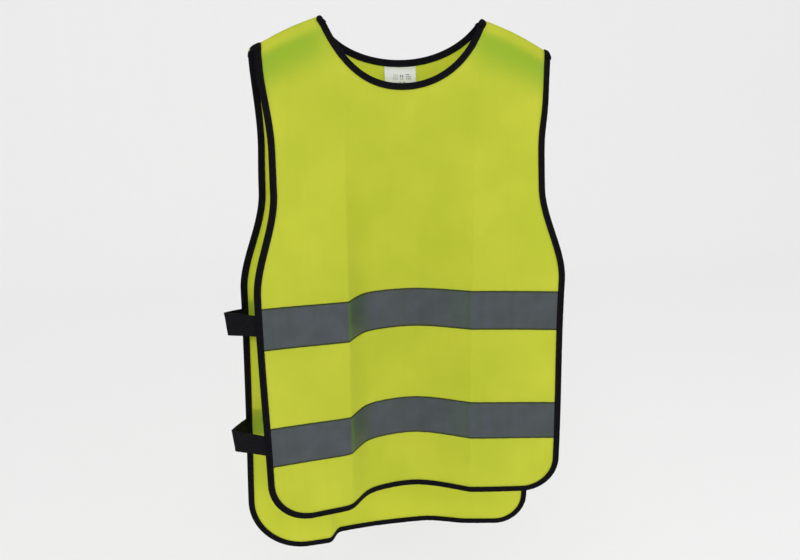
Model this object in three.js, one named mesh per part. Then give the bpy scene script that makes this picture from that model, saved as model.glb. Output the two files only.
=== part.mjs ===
// A pull-over high visibility vest: a front and a back panel joined at the shoulders, black binding,
// reflective bands, four elastic side straps and a neck label. Millimetres, +Z up, the wearer faces -Y.
// The origin is the middle of the neck opening, level with the tops of the shoulder seams.
import * as THREE from 'three';

// Driving dimensions. "drop" is a distance down from the origin; left and right are the wearer's own.
const RIGHT = -1;
const LEFT = 1;
const NECK_HALF = { [RIGHT]: 94, [LEFT]: 100 };
const TIP_HALF = { [RIGHT]: 174, [LEFT]: 186 };
const TIP_DROP = 38;
const SHOULDER_ARCH = 3;
const NECK_RUN = 13;
const NECK_FLAT = 50;
const PANEL_THICKNESS = 1.4;
const BINDING_WIDTH = 8;
const BINDING_THICKNESS = 2.8;
const BAND_WIDTH = 51;
const BAND_THICKNESS = 0.8;
const BAND_GAP = 0.45;
const CLEARANCE = 0.4;

// How each panel is cut, and how it hangs. The "off" values add to SEAM_OFF, one after another, to give
// how far the cloth stands off the shoulder line at the chest, waist and hem. The folds are a broken line
// across the panel: it starts at foldStart, and each crease is [place across, change of slope, softness].
// Hem creases come in towards the hem alone.
const FRONT = {
  neckDrop: 73,
  neckDip: 36,
  hemDrop: 602,
  corner: { [RIGHT]: 56, [LEFT]: 48 },
  armHalf: { [RIGHT]: 156, [LEFT]: 175 },
  sideFlare: { [RIGHT]: 23, [LEFT]: 26 },
  lowerGrowth: { [RIGHT]: -4, [LEFT]: 4 },
  facing: -1,
  chestOff: 14,
  waistOff: 0,
  hemOff: 0,
  foldStart: -172,
  foldStartOff: -49,
  foldSlope: 0.18,
  creases: [[-70, 1.86, 4], [-51, -1.76, 5], [22, -0.88, 18], [88, 0.425, 5]],
  hemCreases: [],
  foldFade: 0,
  chestSway: 0,
  hemSway: 2,
};
const BACK = {
  neckDrop: 46,
  neckDip: 22,
  hemDrop: 697,
  corner: { [RIGHT]: 78, [LEFT]: 46 },
  armHalf: { [RIGHT]: 165, [LEFT]: 175 },
  sideFlare: { [RIGHT]: 26, [LEFT]: 26 },
  lowerGrowth: { [RIGHT]: -4, [LEFT]: 8 },
  facing: 1,
  chestOff: 12,
  waistOff: 14,
  hemOff: 26,
  foldStart: -190,
  foldStartOff: -52,
  foldSlope: 0.1,
  creases: [[-80, 2.44, 4], [-66, -2.39, 4], [60, -0.35, 20]],
  hemCreases: [[72, -0.3, 6], [118, 0.26, 6]],
  foldFade: 0.35,
  chestSway: -4,
  hemSway: -12,
};

// The drops between which each change of shape comes in, as [start, end]. CHEST_RANGE alone is measured
// down from the shoulder line.
const CHEST_RANGE = [5, 85];
const WAIST_RANGE = [100, 420];
const HEM_RANGE = [350, 650];
const FOLD_RANGE = [40, 300];
const CHEST_SWAY_RANGE = [60, 200];
const HEM_SWAY_RANGE = [300, 650];
const ARMHOLE_RANGE = [TIP_DROP, 150];
const SIDE_FLARE_RANGE = [195, 310];
const LOWER_GROWTH_RANGE = [310, 580];

// Heights that the bands and straps share on both panels.
const BAND_DROP = { upper: 324, lower: 473 };
const STRAP_DROP = { upper: 333, lower: 484 };
const STRAP_WIDTH = 25;
const STRAP_THICKNESS = 1.6;
// A strap's slack folds outward on the right and inward on the left, this far from its sewn back end,
// and at this share of the way to its front end.
const STRAP_FOLD_OUT = { [RIGHT]: 22, [LEFT]: -30 };
const STRAP_FOLD_SHARE = 0.7;
const STRAP_FOLD_RADIUS = 9;
const STRAP_END_GAP = 4;
const LABEL = { width: 38, length: 28, thickness: 0.8, across: 3, standOff: 2.4 };
// The seam allowance at each shoulder is a bar that fills the space between the two panels' top edges.
const SEAM_OFF = 3;
const SEAM_DEPTH = 2 * (SEAM_OFF - PANEL_THICKNESS / 2 - CLEARANCE);
const SEAM_HEIGHT = 4;

// How finely curves are stepped.
const SIDE_ROWS = 24;
const NECK_STEPS = 10;
const CORNER_STEPS = 4;
const SHOULDER_STEPS = 3;
const SEAM_STEPS = 4;
const BAND_ROWS = 3;
const FOLD_STEPS = 5;

const CLOTH = { color: 0xbbc43f, roughness: 0.85, metalness: 0 };
const BLACK = { color: 0x1a191e, roughness: 0.8, metalness: 0 };
const SILVER = { color: 0x8a9298, roughness: 0.45, metalness: 0.3 };
const SATIN = { color: 0xe4e6e0, roughness: 0.5, metalness: 0 };

const smooth = THREE.MathUtils.smoothstep;

// The depth that a list of creases adds at a place across the panel.
function creased(creases, across) {
  let added = 0;
  for (const [place, turn, softness] of creases) {
    added += turn * softness * Math.log1p(Math.exp((across - place) / softness));
  }
  return added;
}

// How far down a place is from the shoulder line, which runs level across the neck opening.
function belowShoulder(across, drop) {
  const side = across < 0 ? RIGHT : LEFT;
  const run = (Math.abs(across) - NECK_HALF[side]) / (TIP_HALF[side] - NECK_HALF[side]);
  return drop - TIP_DROP * THREE.MathUtils.clamp(run, 0, 1);
}

// How far forward (-) or back (+) of the shoulder line the cloth stands.
function depth(panel, across, drop) {
  const below = belowShoulder(across, drop);
  const standOff = SEAM_OFF
    + panel.chestOff * smooth(below, ...CHEST_RANGE)
    + panel.waistOff * smooth(drop, ...WAIST_RANGE)
    + panel.hemOff * smooth(drop, ...HEM_RANGE);
  const fold = panel.foldStartOff
    + panel.foldSlope * (across - panel.foldStart)
    + creased(panel.creases, across);
  const foldShare = smooth(drop, ...FOLD_RANGE) * (1 - panel.foldFade * smooth(drop, ...HEM_RANGE));
  const hemFold = creased(panel.hemCreases, across) * smooth(drop, ...HEM_RANGE);
  return panel.facing * standOff + fold * foldShare + hemFold;
}

// The middle of the cloth's thickness at a place on the flat pattern (across, drop).
function onPanel(panel, place) {
  const sway = panel.chestSway * smooth(place.y, ...CHEST_SWAY_RANGE)
    + panel.hemSway * smooth(place.y, ...HEM_SWAY_RANGE);
  return new THREE.Vector3(place.x + sway, depth(panel, place.x, place.y), -place.y);
}

function halfWidth(panel, side, drop) {
  const arm = panel.armHalf[side];
  return arm
    + (TIP_HALF[side] - arm) * (1 - smooth(drop, ...ARMHOLE_RANGE))
    + panel.sideFlare[side] * smooth(drop, ...SIDE_FLARE_RANGE)
    + panel.lowerGrowth[side] * smooth(drop, ...LOWER_GROWTH_RANGE);
}

function shoulderDrop(side, across) {
  const run = (Math.abs(across) - NECK_HALF[side]) / (TIP_HALF[side] - NECK_HALF[side]);
  return TIP_DROP * run - SHOULDER_ARCH * Math.sin(Math.PI * run);
}

// One side of the outline, from the shoulder tip down to where the rounded corner starts.
function sidePath(panel, side) {
  const places = [];
  const end = panel.hemDrop - panel.corner[side];
  for (let row = 0; row <= SIDE_ROWS; row += 1) {
    const drop = TIP_DROP + (end - TIP_DROP) * row / SIDE_ROWS;
    places.push(new THREE.Vector2(side * halfWidth(panel, side, drop), drop));
  }
  return places;
}

// The rounded hem corner, from the side to the hem, without its first point.
function cornerPath(panel, side) {
  const places = [];
  const radius = panel.corner[side];
  const centreDrop = panel.hemDrop - radius;
  const centreAcross = halfWidth(panel, side, centreDrop) - radius;
  for (let step = 1; step <= CORNER_STEPS; step += 1) {
    const angle = Math.PI / 2 * step / CORNER_STEPS;
    const across = centreAcross + radius * Math.cos(angle);
    places.push(new THREE.Vector2(side * across, centreDrop + radius * Math.sin(angle)));
  }
  return places;
}

function lerpPath(from, to, steps) {
  const places = [];
  for (let step = 1; step < steps; step += 1) {
    places.push(from.clone().lerp(to, step / steps));
  }
  return places;
}

// The neckline from the right neck point round to the left one.
function neckPath(panel) {
  const bottom = new THREE.Vector2(0, panel.neckDrop);
  const half = (side) => new THREE.CubicBezierCurve(
    new THREE.Vector2(side * NECK_HALF[side], 0),
    new THREE.Vector2(side * (NECK_HALF[side] - NECK_RUN), panel.neckDip),
    new THREE.Vector2(side * NECK_FLAT, panel.neckDrop),
    bottom,
  ).getPoints(NECK_STEPS);
  return [...half(RIGHT), ...half(LEFT).reverse().slice(1)];
}

// Moves every point of a path sideways, to the right of its direction of travel.
function offsetPath(path, distance) {
  return path.map((place, index) => {
    const before = path[Math.max(index - 1, 0)];
    const after = path[Math.min(index + 1, path.length - 1)];
    const along = after.clone().sub(before).normalize();
    return place.clone().add(new THREE.Vector2(-along.y, along.x).multiplyScalar(distance));
  });
}

// The hem between its two corners, with a point below every point of the neckline's inner edge.
function hemPath(panel) {
  const reach = (side) => new THREE.Vector2(
    side * (halfWidth(panel, side, panel.hemDrop - panel.corner[side]) - panel.corner[side]),
    panel.hemDrop,
  );
  const neckEdge = offsetPath(neckPath(panel), BINDING_WIDTH);
  const below = neckEdge.map((place) => new THREE.Vector2(place.x, panel.hemDrop));
  return [
    ...lerpPath(reach(RIGHT), below[0], SHOULDER_STEPS),
    ...below,
    ...lerpPath(below[below.length - 1], reach(LEFT), SHOULDER_STEPS),
  ];
}

// The whole outer edge, from the left shoulder tip round the hem to the right shoulder tip.
function outerPath(panel) {
  return [
    ...sidePath(panel, LEFT),
    ...cornerPath(panel, LEFT),
    ...hemPath(panel).reverse(),
    ...cornerPath(panel, RIGHT).reverse(),
    ...sidePath(panel, RIGHT).reverse(),
  ];
}

// The top of the cloth, level with the top of the shoulder seam that it lies against.
function clothTop(side, across) {
  return shoulderDrop(side, across) - SEAM_HEIGHT / 2;
}

// The cloth's grid of places inside the bindings: columns from right to left, rows from the top down.
// The side columns bow with the armhole and side; the columns below the neckline are straight.
function clothColumns(panel) {
  const inset = BINDING_WIDTH + CLEARANCE;
  const outer = offsetPath(outerPath(panel), inset);
  const edges = {
    [LEFT]: outer.slice(0, SIDE_ROWS + 1),
    [RIGHT]: outer.slice(-SIDE_ROWS - 1).reverse(),
  };
  const bottoms = outer.slice(SIDE_ROWS, outer.length - SIDE_ROWS).reverse();
  const neckEdge = offsetPath(neckPath(panel), inset);
  const sideColumns = (bottoms.length - neckEdge.length) / 2;
  return bottoms.map((bottom, column) => {
    const side = column < bottoms.length / 2 ? RIGHT : LEFT;
    const edge = edges[side];
    const fromEdge = side === RIGHT ? column : bottoms.length - 1 - column;
    const outward = Math.max(0, 1 - fromEdge / sideColumns);
    const neckPlace = neckEdge[THREE.MathUtils.clamp(column - sideColumns, 0, neckEdge.length - 1)];
    const across = THREE.MathUtils.lerp(neckPlace.x, edge[0].x, outward);
    const endDrops = { 0: neckPlace.y, 1: edge[0].y };
    const top = new THREE.Vector2(across, Math.max(endDrops[outward] ?? 0, clothTop(side, across)));
    return edge.map((place, row) => {
      const share = row / SIDE_ROWS;
      const straight = edge[0].clone().lerp(edge[SIDE_ROWS], share);
      const bow = place.clone().sub(straight).multiplyScalar(outward);
      return top.clone().lerp(bottom, share).add(bow);
    });
  });
}

// A closed slab over a grid of places. surface gives its middle in space, and its front and back faces
// lie at the two lifts from there, along Y.
function slab(surface, columns, frontLift, backLift) {
  const rows = columns[0].length;
  const positions = [];
  for (const lift of [frontLift, backLift]) {
    for (const place of columns.flat()) {
      const point = surface(place);
      positions.push(point.x, point.y + lift, point.z);
    }
  }
  const back = columns.length * rows;
  const at = (column, row) => column * rows + row;
  const index = [];
  const quad = (a, b, c, d) => index.push(a, b, c, a, c, d);
  for (let column = 0; column + 1 < columns.length; column += 1) {
    for (let row = 0; row + 1 < rows; row += 1) {
      const corners = [at(column, row), at(column, row + 1), at(column + 1, row + 1), at(column + 1, row)];
      quad(...corners);
      quad(...corners.map((corner) => corner + back).reverse());
    }
  }
  const rim = [];
  for (let row = 0; row < rows; row += 1) rim.push(at(0, row));
  for (let column = 1; column < columns.length; column += 1) rim.push(at(column, rows - 1));
  for (let row = rows - 2; row >= 0; row -= 1) rim.push(at(columns.length - 1, row));
  for (let column = columns.length - 2; column > 0; column -= 1) rim.push(at(column, 0));
  rim.forEach((corner, step) => {
    const next = rim[(step + 1) % rim.length];
    quad(corner, corner + back, next + back, next);
  });
  const geometry = new THREE.BufferGeometry();
  geometry.setAttribute('position', new THREE.Float32BufferAttribute(positions, 3));
  geometry.setIndex(index);
  geometry.computeVertexNormals();
  return geometry;
}

function piece(name, geometry, look) {
  const mesh = new THREE.Mesh(geometry, new THREE.MeshStandardMaterial(look));
  mesh.name = name;
  return mesh;
}

function cloth(name, panel) {
  const half = PANEL_THICKNESS / 2;
  return piece(name, slab((place) => onPanel(panel, place), clothColumns(panel), -half, half), CLOTH);
}

// Folded binding along a path of places, beside the cloth's cut edge.
function binding(name, panel, path) {
  const half = BINDING_THICKNESS / 2;
  const inner = offsetPath(path, BINDING_WIDTH);
  const columns = path.map((place, index) => [place, inner[index]]);
  return piece(name, slab((place) => onPanel(panel, place), columns, -half, half), BLACK);
}

// Where a column of the cloth crosses a given drop.
function crossing(column, drop) {
  const below = column.findIndex((place) => place.y >= drop);
  const from = column[below - 1];
  const to = column[below];
  return from.clone().lerp(to, (drop - from.y) / (to.y - from.y));
}

// A reflective band on the outer face of a panel, from binding to binding.
function reflectiveBand(name, panel, drop) {
  const columns = clothColumns(panel).map((column) => {
    const places = [];
    for (let row = 0; row <= BAND_ROWS; row += 1) {
      places.push(crossing(column, drop + BAND_WIDTH * row / BAND_ROWS));
    }
    return places;
  });
  const near = PANEL_THICKNESS / 2 + BAND_GAP;
  const lifts = [panel.facing * near, panel.facing * (near + BAND_THICKNESS)];
  const surface = (place) => onPanel(panel, place);
  return piece(name, slab(surface, columns, Math.min(...lifts), Math.max(...lifts)), SILVER);
}

// The shoulder seam between the panels, from the neck binding to the edge binding.
function shoulderSeam(name, side) {
  const inset = BINDING_WIDTH + CLEARANCE;
  const columns = [];
  for (let step = 0; step <= SEAM_STEPS; step += 1) {
    const share = side === LEFT ? step / SEAM_STEPS : 1 - step / SEAM_STEPS;
    const across = side * THREE.MathUtils.lerp(NECK_HALF[side] + inset, TIP_HALF[side] - inset, share);
    const middle = shoulderDrop(side, across);
    columns.push([-SEAM_HEIGHT / 2, SEAM_HEIGHT / 2].map((down) => new THREE.Vector2(across, middle + down)));
  }
  const surface = (place) => new THREE.Vector3(place.x, 0, -place.y);
  return piece(name, slab(surface, columns, -SEAM_DEPTH / 2, SEAM_DEPTH / 2), CLOTH);
}

// The middle of a binding's inner face at a height, seen from above as (across, depth).
function strapEnd(panel, side, drop) {
  const across = side * (halfWidth(panel, side, drop) - BINDING_WIDTH / 2);
  const point = onPanel(panel, new THREE.Vector2(across, drop));
  const inward = BINDING_THICKNESS / 2 + STRAP_END_GAP;
  return new THREE.Vector2(point.x, point.y - panel.facing * inward);
}

// An elastic strap from the back edge to the front edge, its slack folded to one side. Its own origin is
// its sewn end on the back panel, halfway up its width.
function strap(name, side, drop) {
  const middleDrop = drop + STRAP_WIDTH / 2;
  const backEnd = strapEnd(BACK, side, middleDrop);
  const frontEnd = strapEnd(FRONT, side, middleDrop).sub(backEnd);
  const start = new THREE.Vector2(0, 0);
  const fold = new THREE.Vector2(side * STRAP_FOLD_OUT[side], frontEnd.y * STRAP_FOLD_SHARE);
  const before = fold.clone().sub(fold.clone().setLength(STRAP_FOLD_RADIUS));
  const after = fold.clone().add(frontEnd.clone().sub(fold).setLength(STRAP_FOLD_RADIUS));
  const bend = new THREE.QuadraticBezierCurve(before, fold, after).getPoints(FOLD_STEPS);
  const middle = [start, ...bend, frontEnd];
  const half = STRAP_THICKNESS / 2;
  const outline = new THREE.Shape([...offsetPath(middle, half), ...offsetPath(middle, -half).reverse()]);
  const geometry = new THREE.ExtrudeGeometry(outline, { depth: STRAP_WIDTH, bevelEnabled: false });
  geometry.translate(0, 0, -STRAP_WIDTH / 2);
  const mesh = piece(name, geometry, BLACK);
  mesh.position.set(backEnd.x, backEnd.y, -middleDrop);
  return mesh;
}

// The neck label hangs from the lower edge of the back neck binding; its origin is its sewn top edge.
function neckLabel() {
  const topDrop = BACK.neckDrop + BINDING_WIDTH + CLEARANCE;
  const geometry = new THREE.BoxGeometry(LABEL.width, LABEL.thickness, LABEL.length);
  geometry.translate(0, 0, -LABEL.length / 2);
  const mesh = piece('neck_label', geometry, SATIN);
  mesh.position.set(LABEL.across, depth(BACK, LABEL.across, topDrop) - LABEL.standOff, -topDrop);
  return mesh;
}

function frontHalf() {
  const group = new THREE.Group();
  group.add(
    cloth('front_panel', FRONT),
    binding('front_neck_binding', FRONT, neckPath(FRONT)),
    binding('front_edge_binding', FRONT, outerPath(FRONT)),
    reflectiveBand('front_upper_reflective_band', FRONT, BAND_DROP.upper),
    reflectiveBand('front_lower_reflective_band', FRONT, BAND_DROP.lower),
  );
  return group;
}

function backHalf() {
  const group = new THREE.Group();
  group.add(
    cloth('back_panel', BACK),
    binding('back_neck_binding', BACK, neckPath(BACK)),
    binding('back_edge_binding', BACK, outerPath(BACK)),
    reflectiveBand('back_upper_reflective_band', BACK, BAND_DROP.upper),
    reflectiveBand('back_lower_reflective_band', BACK, BAND_DROP.lower),
    shoulderSeam('right_shoulder_seam', RIGHT),
    shoulderSeam('left_shoulder_seam', LEFT),
    neckLabel(),
  );
  return group;
}

function sideStraps() {
  const group = new THREE.Group();
  for (const [sideName, side] of [['right', RIGHT], ['left', LEFT]]) {
    for (const [height, drop] of Object.entries(STRAP_DROP)) {
      group.add(strap(`${sideName}_${height}_strap`, side, drop));
    }
  }
  return group;
}

const vest = new THREE.Group();
vest.add(frontHalf(), backHalf(), sideStraps());

export default vest;
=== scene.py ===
"""A pull-over high visibility vest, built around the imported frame.

Lengths are millimetres in the frame's own axes: +X to the wearer's left, +Y to the wearer's back, +Z up.
"drop" is a distance down from the origin, and (across, drop) is a place on a panel's flat pattern.
MM turns millimetres into metres where a mesh is made.
"""

import math
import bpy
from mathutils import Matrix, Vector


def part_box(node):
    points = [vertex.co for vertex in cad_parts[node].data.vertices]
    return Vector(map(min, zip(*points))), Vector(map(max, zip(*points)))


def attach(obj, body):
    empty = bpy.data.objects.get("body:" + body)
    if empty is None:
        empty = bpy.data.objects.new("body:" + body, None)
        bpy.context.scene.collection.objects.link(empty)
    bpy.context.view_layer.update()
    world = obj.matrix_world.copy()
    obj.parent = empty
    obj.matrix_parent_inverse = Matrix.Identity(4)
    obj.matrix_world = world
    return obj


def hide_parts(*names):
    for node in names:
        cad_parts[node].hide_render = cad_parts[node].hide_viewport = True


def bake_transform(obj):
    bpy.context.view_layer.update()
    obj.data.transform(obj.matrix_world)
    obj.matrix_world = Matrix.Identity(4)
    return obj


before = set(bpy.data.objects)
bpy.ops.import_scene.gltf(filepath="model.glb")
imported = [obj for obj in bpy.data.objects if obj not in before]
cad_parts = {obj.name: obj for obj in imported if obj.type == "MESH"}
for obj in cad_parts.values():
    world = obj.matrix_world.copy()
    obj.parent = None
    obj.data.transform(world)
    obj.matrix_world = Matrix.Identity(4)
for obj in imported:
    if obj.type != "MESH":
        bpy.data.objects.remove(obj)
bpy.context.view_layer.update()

from types import SimpleNamespace

import bpy
import numpy as np
from mathutils import Vector

MM = 0.001
RIGHT, LEFT = -1, 1


def low_edge(node):
    """How far down a node reaches."""
    return -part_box(node)[0][2] / MM


# The pattern. The neckline starts at NECK_TIP, and the shoulder line falls from NECK_HALF to TIP_HALF.
NECK_TIP = {RIGHT: 88, LEFT: 96}
NECK_HALF = {RIGHT: 94, LEFT: 100}
TIP_HALF = {RIGHT: 174, LEFT: 186}
TIP_DROP = 38
SHOULDER_ARCH = 3
NECK_FLAT = 50
BINDING_WIDTH = 8
SEAM_OFF = 3
# Creases are (place across, change of slope, softness), and pressed ridges are (place across, rise, width).
FRONT = SimpleNamespace(
    name="front", facing=-1,
    neck_drop=low_edge("front_neck_binding") - BINDING_WIDTH, neck_dip=36,
    neck_run={RIGHT: 16.5, LEFT: 11},
    hem_drop=low_edge("front_edge_binding"),
    arm_tip={RIGHT: 167, LEFT: 186}, arm_half={RIGHT: 156, LEFT: 175},
    side_flare={RIGHT: 23, LEFT: 26}, lower_growth={RIGHT: -4, LEFT: 4},
    chest_off=14, waist_off=0, hem_off=0,
    fold_start=-172, fold_start_off=-49, fold_slope=0.18,
    corner={RIGHT: 56, LEFT: 48},
    creases=((-70, 1.86, 1.1), (-51, -1.76, 7), (22, -0.88, 18), (88, 0.425, 2.5)), fold_fade=0,
    hem_creases=((-70, -1.86, 1.1), (-69, 1.86, 4.5)),
    pressed=((-70, 0.45, 2.2), (88, 0.5, 2.2), (22, -0.3, 5)),
    chest_sway=0, hem_sway=2,
)
BACK = SimpleNamespace(
    name="back", facing=1,
    neck_drop=low_edge("back_neck_binding") - BINDING_WIDTH, neck_dip=22,
    neck_run={RIGHT: 1.5, LEFT: 13},
    hem_drop=low_edge("back_edge_binding"),
    arm_tip=TIP_HALF, arm_half={RIGHT: 165, LEFT: 175},
    side_flare={RIGHT: 26, LEFT: 26}, lower_growth={RIGHT: -4, LEFT: 8},
    chest_off=12, waist_off=14, hem_off=26,
    fold_start=-190, fold_start_off=-52, fold_slope=0.1,
    corner={RIGHT: 78, LEFT: 46},
    creases=((-76, 3.1, 0.9), (-65, -3.05, 1.8), (60, -0.35, 20)), fold_fade=0.35,
    hem_creases=((72, -0.3, 5), (118, 0.26, 5)),
    pressed=((-76, 0.4, 2.0), (72, -0.4, 2.2), (-8, 0.3, 4)),
    chest_sway=-4, hem_sway=-12,
)
CHEST_RANGE = (5, 85)
WAIST_RANGE = (100, 420)
HEM_RANGE = (350, 650)
FOLD_RANGE = (40, 300)
CHEST_SWAY_RANGE = (60, 200)
HEM_SWAY_RANGE = (300, 650)
ARMHOLE_RANGE = (TIP_DROP, 150)
SIDE_FLARE_RANGE = (195, 310)
LOWER_GROWTH_RANGE = (310, 580)
BAND_WIDTH = 51
BAND_DROPS = {"upper": 324, "lower": 473}
STRAP_WIDTH = 25
STRAP_TOPS = (333, 484)

# What stands out of the smooth hang. A wave is (rise, length across, length down, panel's turn, phase).
CROSS_FOLDS = ((196, 0.22), (404, -0.22))
CROSS_FOLD_WIDTH = 2.4
WAVES = ((0.9, 37, 96, 1, 0), (0.7, 23, -140, 0, 1.3), (0.5, 88, 41, 0, 0))
WAVE_RANGE = (30, 150)
RIPPLE_ACROSS, RIPPLE_DOWN = 1.9, 1.55
RIPPLE_SWERVE = 1.1
RIPPLE_SWERVE_ACROSS, RIPPLE_SWERVE_DOWN = 3.3, 2.7
EDGE_PUCKER, EDGE_PUCKER_REACH = 0.20, 9
BAND_PUCKER, BAND_PUCKER_LENGTH, BAND_PUCKER_REACH = 0.14, 2.3, 4.5
BAND_PUCKER_SHIFT = 0.6
DRAG, DRAG_LENGTH = 1.1, 13
DRAG_ACROSS, DRAG_DOWN = 0.8, 0.42
DRAG_START, DRAG_END = (40, 110), (150, 300)
DRAG_SIDE_RANGE = (60, 140)

# The visible cloth: thin layers at these distances from the middle of the cloth's thickness.
CLOTH_HALF = 0.25
CLOTH_INSET = 1.5
SEAM_TOUCH = 0.5
PINCH_LENGTH = 4.5
TAPE_NEAR = 0.35
TAPE_FAR = 0.68
TAPE_INSET = 6
NORMAL_STEP = 0.4

# How finely the cloth and its outlines are stepped.
SIDE_ROWS = 300
CORNER_STEPS = 26
SHOULDER_STEPS = 26
NECK_STEPS = 66
PATH_SPACING = 2.0


# ---- The shape of the cloth ----

def smooth(value, span):
    share = np.clip((value - span[0]) / (span[1] - span[0]), 0, 1)
    return share * share * (3 - 2 * share)


def between(value, start, end):
    """Rises from 0 to 1 over start and falls back to 0 over end."""
    return smooth(value, start) * (1 - smooth(value, end))


def joined(*parts):
    """Points made from arrays of each coordinate."""
    return np.stack(parts, axis=-1)


def grid(first, second):
    """Every pair of the two lists' values, as a grid of points."""
    return joined(*np.meshgrid(first, second, indexing="ij"))


def bump(distance, width):
    """1 at no distance, and a rounded fall to 0 past width."""
    return np.exp(-(distance / width) ** 2)


def unit(vectors):
    return vectors / np.linalg.norm(vectors, axis=-1, keepdims=True)


def sideways(path):
    """Across each place of a flat path, to the left of its direction."""
    along = unit(np.gradient(path, axis=0))
    return joined(-along[:, 1], along[:, 0])


def run_along(path):
    """How far along a path each of its points is."""
    return np.concatenate([[0], np.cumsum(np.linalg.norm(np.diff(path, axis=0), axis=1))])


def sided(table, across):
    return np.where(np.asarray(across) < 0, table[RIGHT], table[LEFT])


def shoulder_run(across):
    """0 at the neck point and 1 at the shoulder tip."""
    neck = sided(NECK_HALF, across)
    return np.clip((np.abs(across) - neck) / (sided(TIP_HALF, across) - neck), 0, 1)


def shoulder_drop(across):
    run = shoulder_run(across)
    return TIP_DROP * run - SHOULDER_ARCH * np.sin(np.pi * run)


def half_width(panel, side, drop):
    arm = panel.arm_half[side]
    return (arm
            + (panel.arm_tip[side] - arm) * (1 - smooth(drop, ARMHOLE_RANGE))
            + panel.side_flare[side] * smooth(drop, SIDE_FLARE_RANGE)
            + panel.lower_growth[side] * smooth(drop, LOWER_GROWTH_RANGE))


def edge_distance(panel, across, drop):
    """Roughly how far a place is from the nearest bound side or hem."""
    half = sided({side: half_width(panel, side, drop) for side in (RIGHT, LEFT)}, across)
    return np.maximum(np.minimum(half - np.abs(across), panel.hem_drop - drop), 0)


def relief(panel, across, drop):
    """What stands out of the smooth hang: pressed ridges, puckers at the sewing, soft waves and drag."""
    pressed = sum(rise * bump(across - place, width) for place, rise, width in panel.pressed)
    cross = sum(rise * bump(drop - place, CROSS_FOLD_WIDTH) for place, rise in CROSS_FOLDS)
    wave = sum(rise * np.sin(across / wide + drop / long + panel.facing * turn + phase)
               for rise, wide, long, turn, phase in WAVES)
    ripple = (np.sin(across / RIPPLE_ACROSS + np.sin(drop / RIPPLE_SWERVE_DOWN))
              * np.sin(drop / RIPPLE_DOWN + RIPPLE_SWERVE * np.sin(across / RIPPLE_SWERVE_ACROSS)))
    pucker = EDGE_PUCKER * ripple * np.exp(-edge_distance(panel, across, drop) / EDGE_PUCKER_REACH)
    for start in BAND_DROPS.values():
        for line in (start, start + BAND_WIDTH):
            gathers = np.sin(across / BAND_PUCKER_LENGTH + BAND_PUCKER_SHIFT * line)
            pucker = pucker + BAND_PUCKER * gathers * bump(drop - line, BAND_PUCKER_REACH)
    drag = DRAG * between(drop, DRAG_START, DRAG_END)
    drag = drag * np.sin((np.abs(across) * DRAG_ACROSS - drop * DRAG_DOWN) / DRAG_LENGTH)
    return (pressed + cross + wave * smooth(drop, WAVE_RANGE) + pucker
            + drag * smooth(np.abs(across), DRAG_SIDE_RANGE))


def creased(creases, across):
    """The depth that a list of creases adds."""
    added = np.zeros_like(across, float)
    for place, turn, softness in creases:
        added = added + turn * softness * np.logaddexp(0, (across - place) / softness)
    return added


def depth(panel, across, drop):
    """How far forward (-) or back (+) of the shoulder line the cloth stands."""
    below = drop - TIP_DROP * shoulder_run(across)
    seam_fall = np.maximum(drop - shoulder_drop(across), 0)
    stand_off = (SEAM_OFF
                 - (SEAM_OFF - SEAM_TOUCH) * np.exp(-seam_fall / PINCH_LENGTH)
                 + panel.chest_off * smooth(below, CHEST_RANGE)
                 + panel.waist_off * smooth(drop, WAIST_RANGE)
                 + panel.hem_off * smooth(drop, HEM_RANGE))
    fold = (panel.fold_start_off
            + panel.fold_slope * (across - panel.fold_start)
            + creased(panel.creases, across))
    share = smooth(drop, FOLD_RANGE) * (1 - panel.fold_fade * smooth(drop, HEM_RANGE))
    hem_fold = creased(panel.hem_creases, across) * smooth(drop, HEM_RANGE)
    return panel.facing * stand_off + fold * share + hem_fold


def surface(panel, flat):
    """The middle of the cloth's thickness at places on the flat pattern, which are arrays ending in 2."""
    across, drop = flat[..., 0], flat[..., 1]
    sway = panel.chest_sway * smooth(drop, CHEST_SWAY_RANGE) + panel.hem_sway * smooth(drop, HEM_SWAY_RANGE)
    out = depth(panel, across, drop) + panel.facing * relief(panel, across, drop)
    return joined(across + sway, out, -drop)


def outward(panel, flat):
    """The direction that points out of the vest, square to the cloth."""
    step_across = np.array([NORMAL_STEP, 0.0])
    step_down = np.array([0.0, NORMAL_STEP])
    over = surface(panel, flat + step_across) - surface(panel, flat - step_across)
    down = surface(panel, flat + step_down) - surface(panel, flat - step_down)
    return unit(panel.facing * np.cross(over, down))


def lifted(panel, flat, lift):
    """Points at a distance from the cloth's middle; positive lifts go out of the vest."""
    return surface(panel, flat) + outward(panel, flat) * np.asarray(lift)[..., None]


# ---- Outlines on the flat pattern ----

def side_path(panel, side):
    drop = np.linspace(TIP_DROP, panel.hem_drop - panel.corner[side], SIDE_ROWS + 1)
    return joined(side * half_width(panel, side, drop), drop)


def corner_centre(panel, side):
    """How far across and down the middle of a rounded corner is."""
    drop = panel.hem_drop - panel.corner[side]
    return half_width(panel, side, drop) - panel.corner[side], drop


def corner_path(panel, side):
    radius = panel.corner[side]
    centre, centre_drop = corner_centre(panel, side)
    angle = np.pi / 2 * np.arange(1, CORNER_STEPS + 1) / CORNER_STEPS
    return joined(side * (centre + radius * np.cos(angle)), centre_drop + radius * np.sin(angle))


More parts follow.
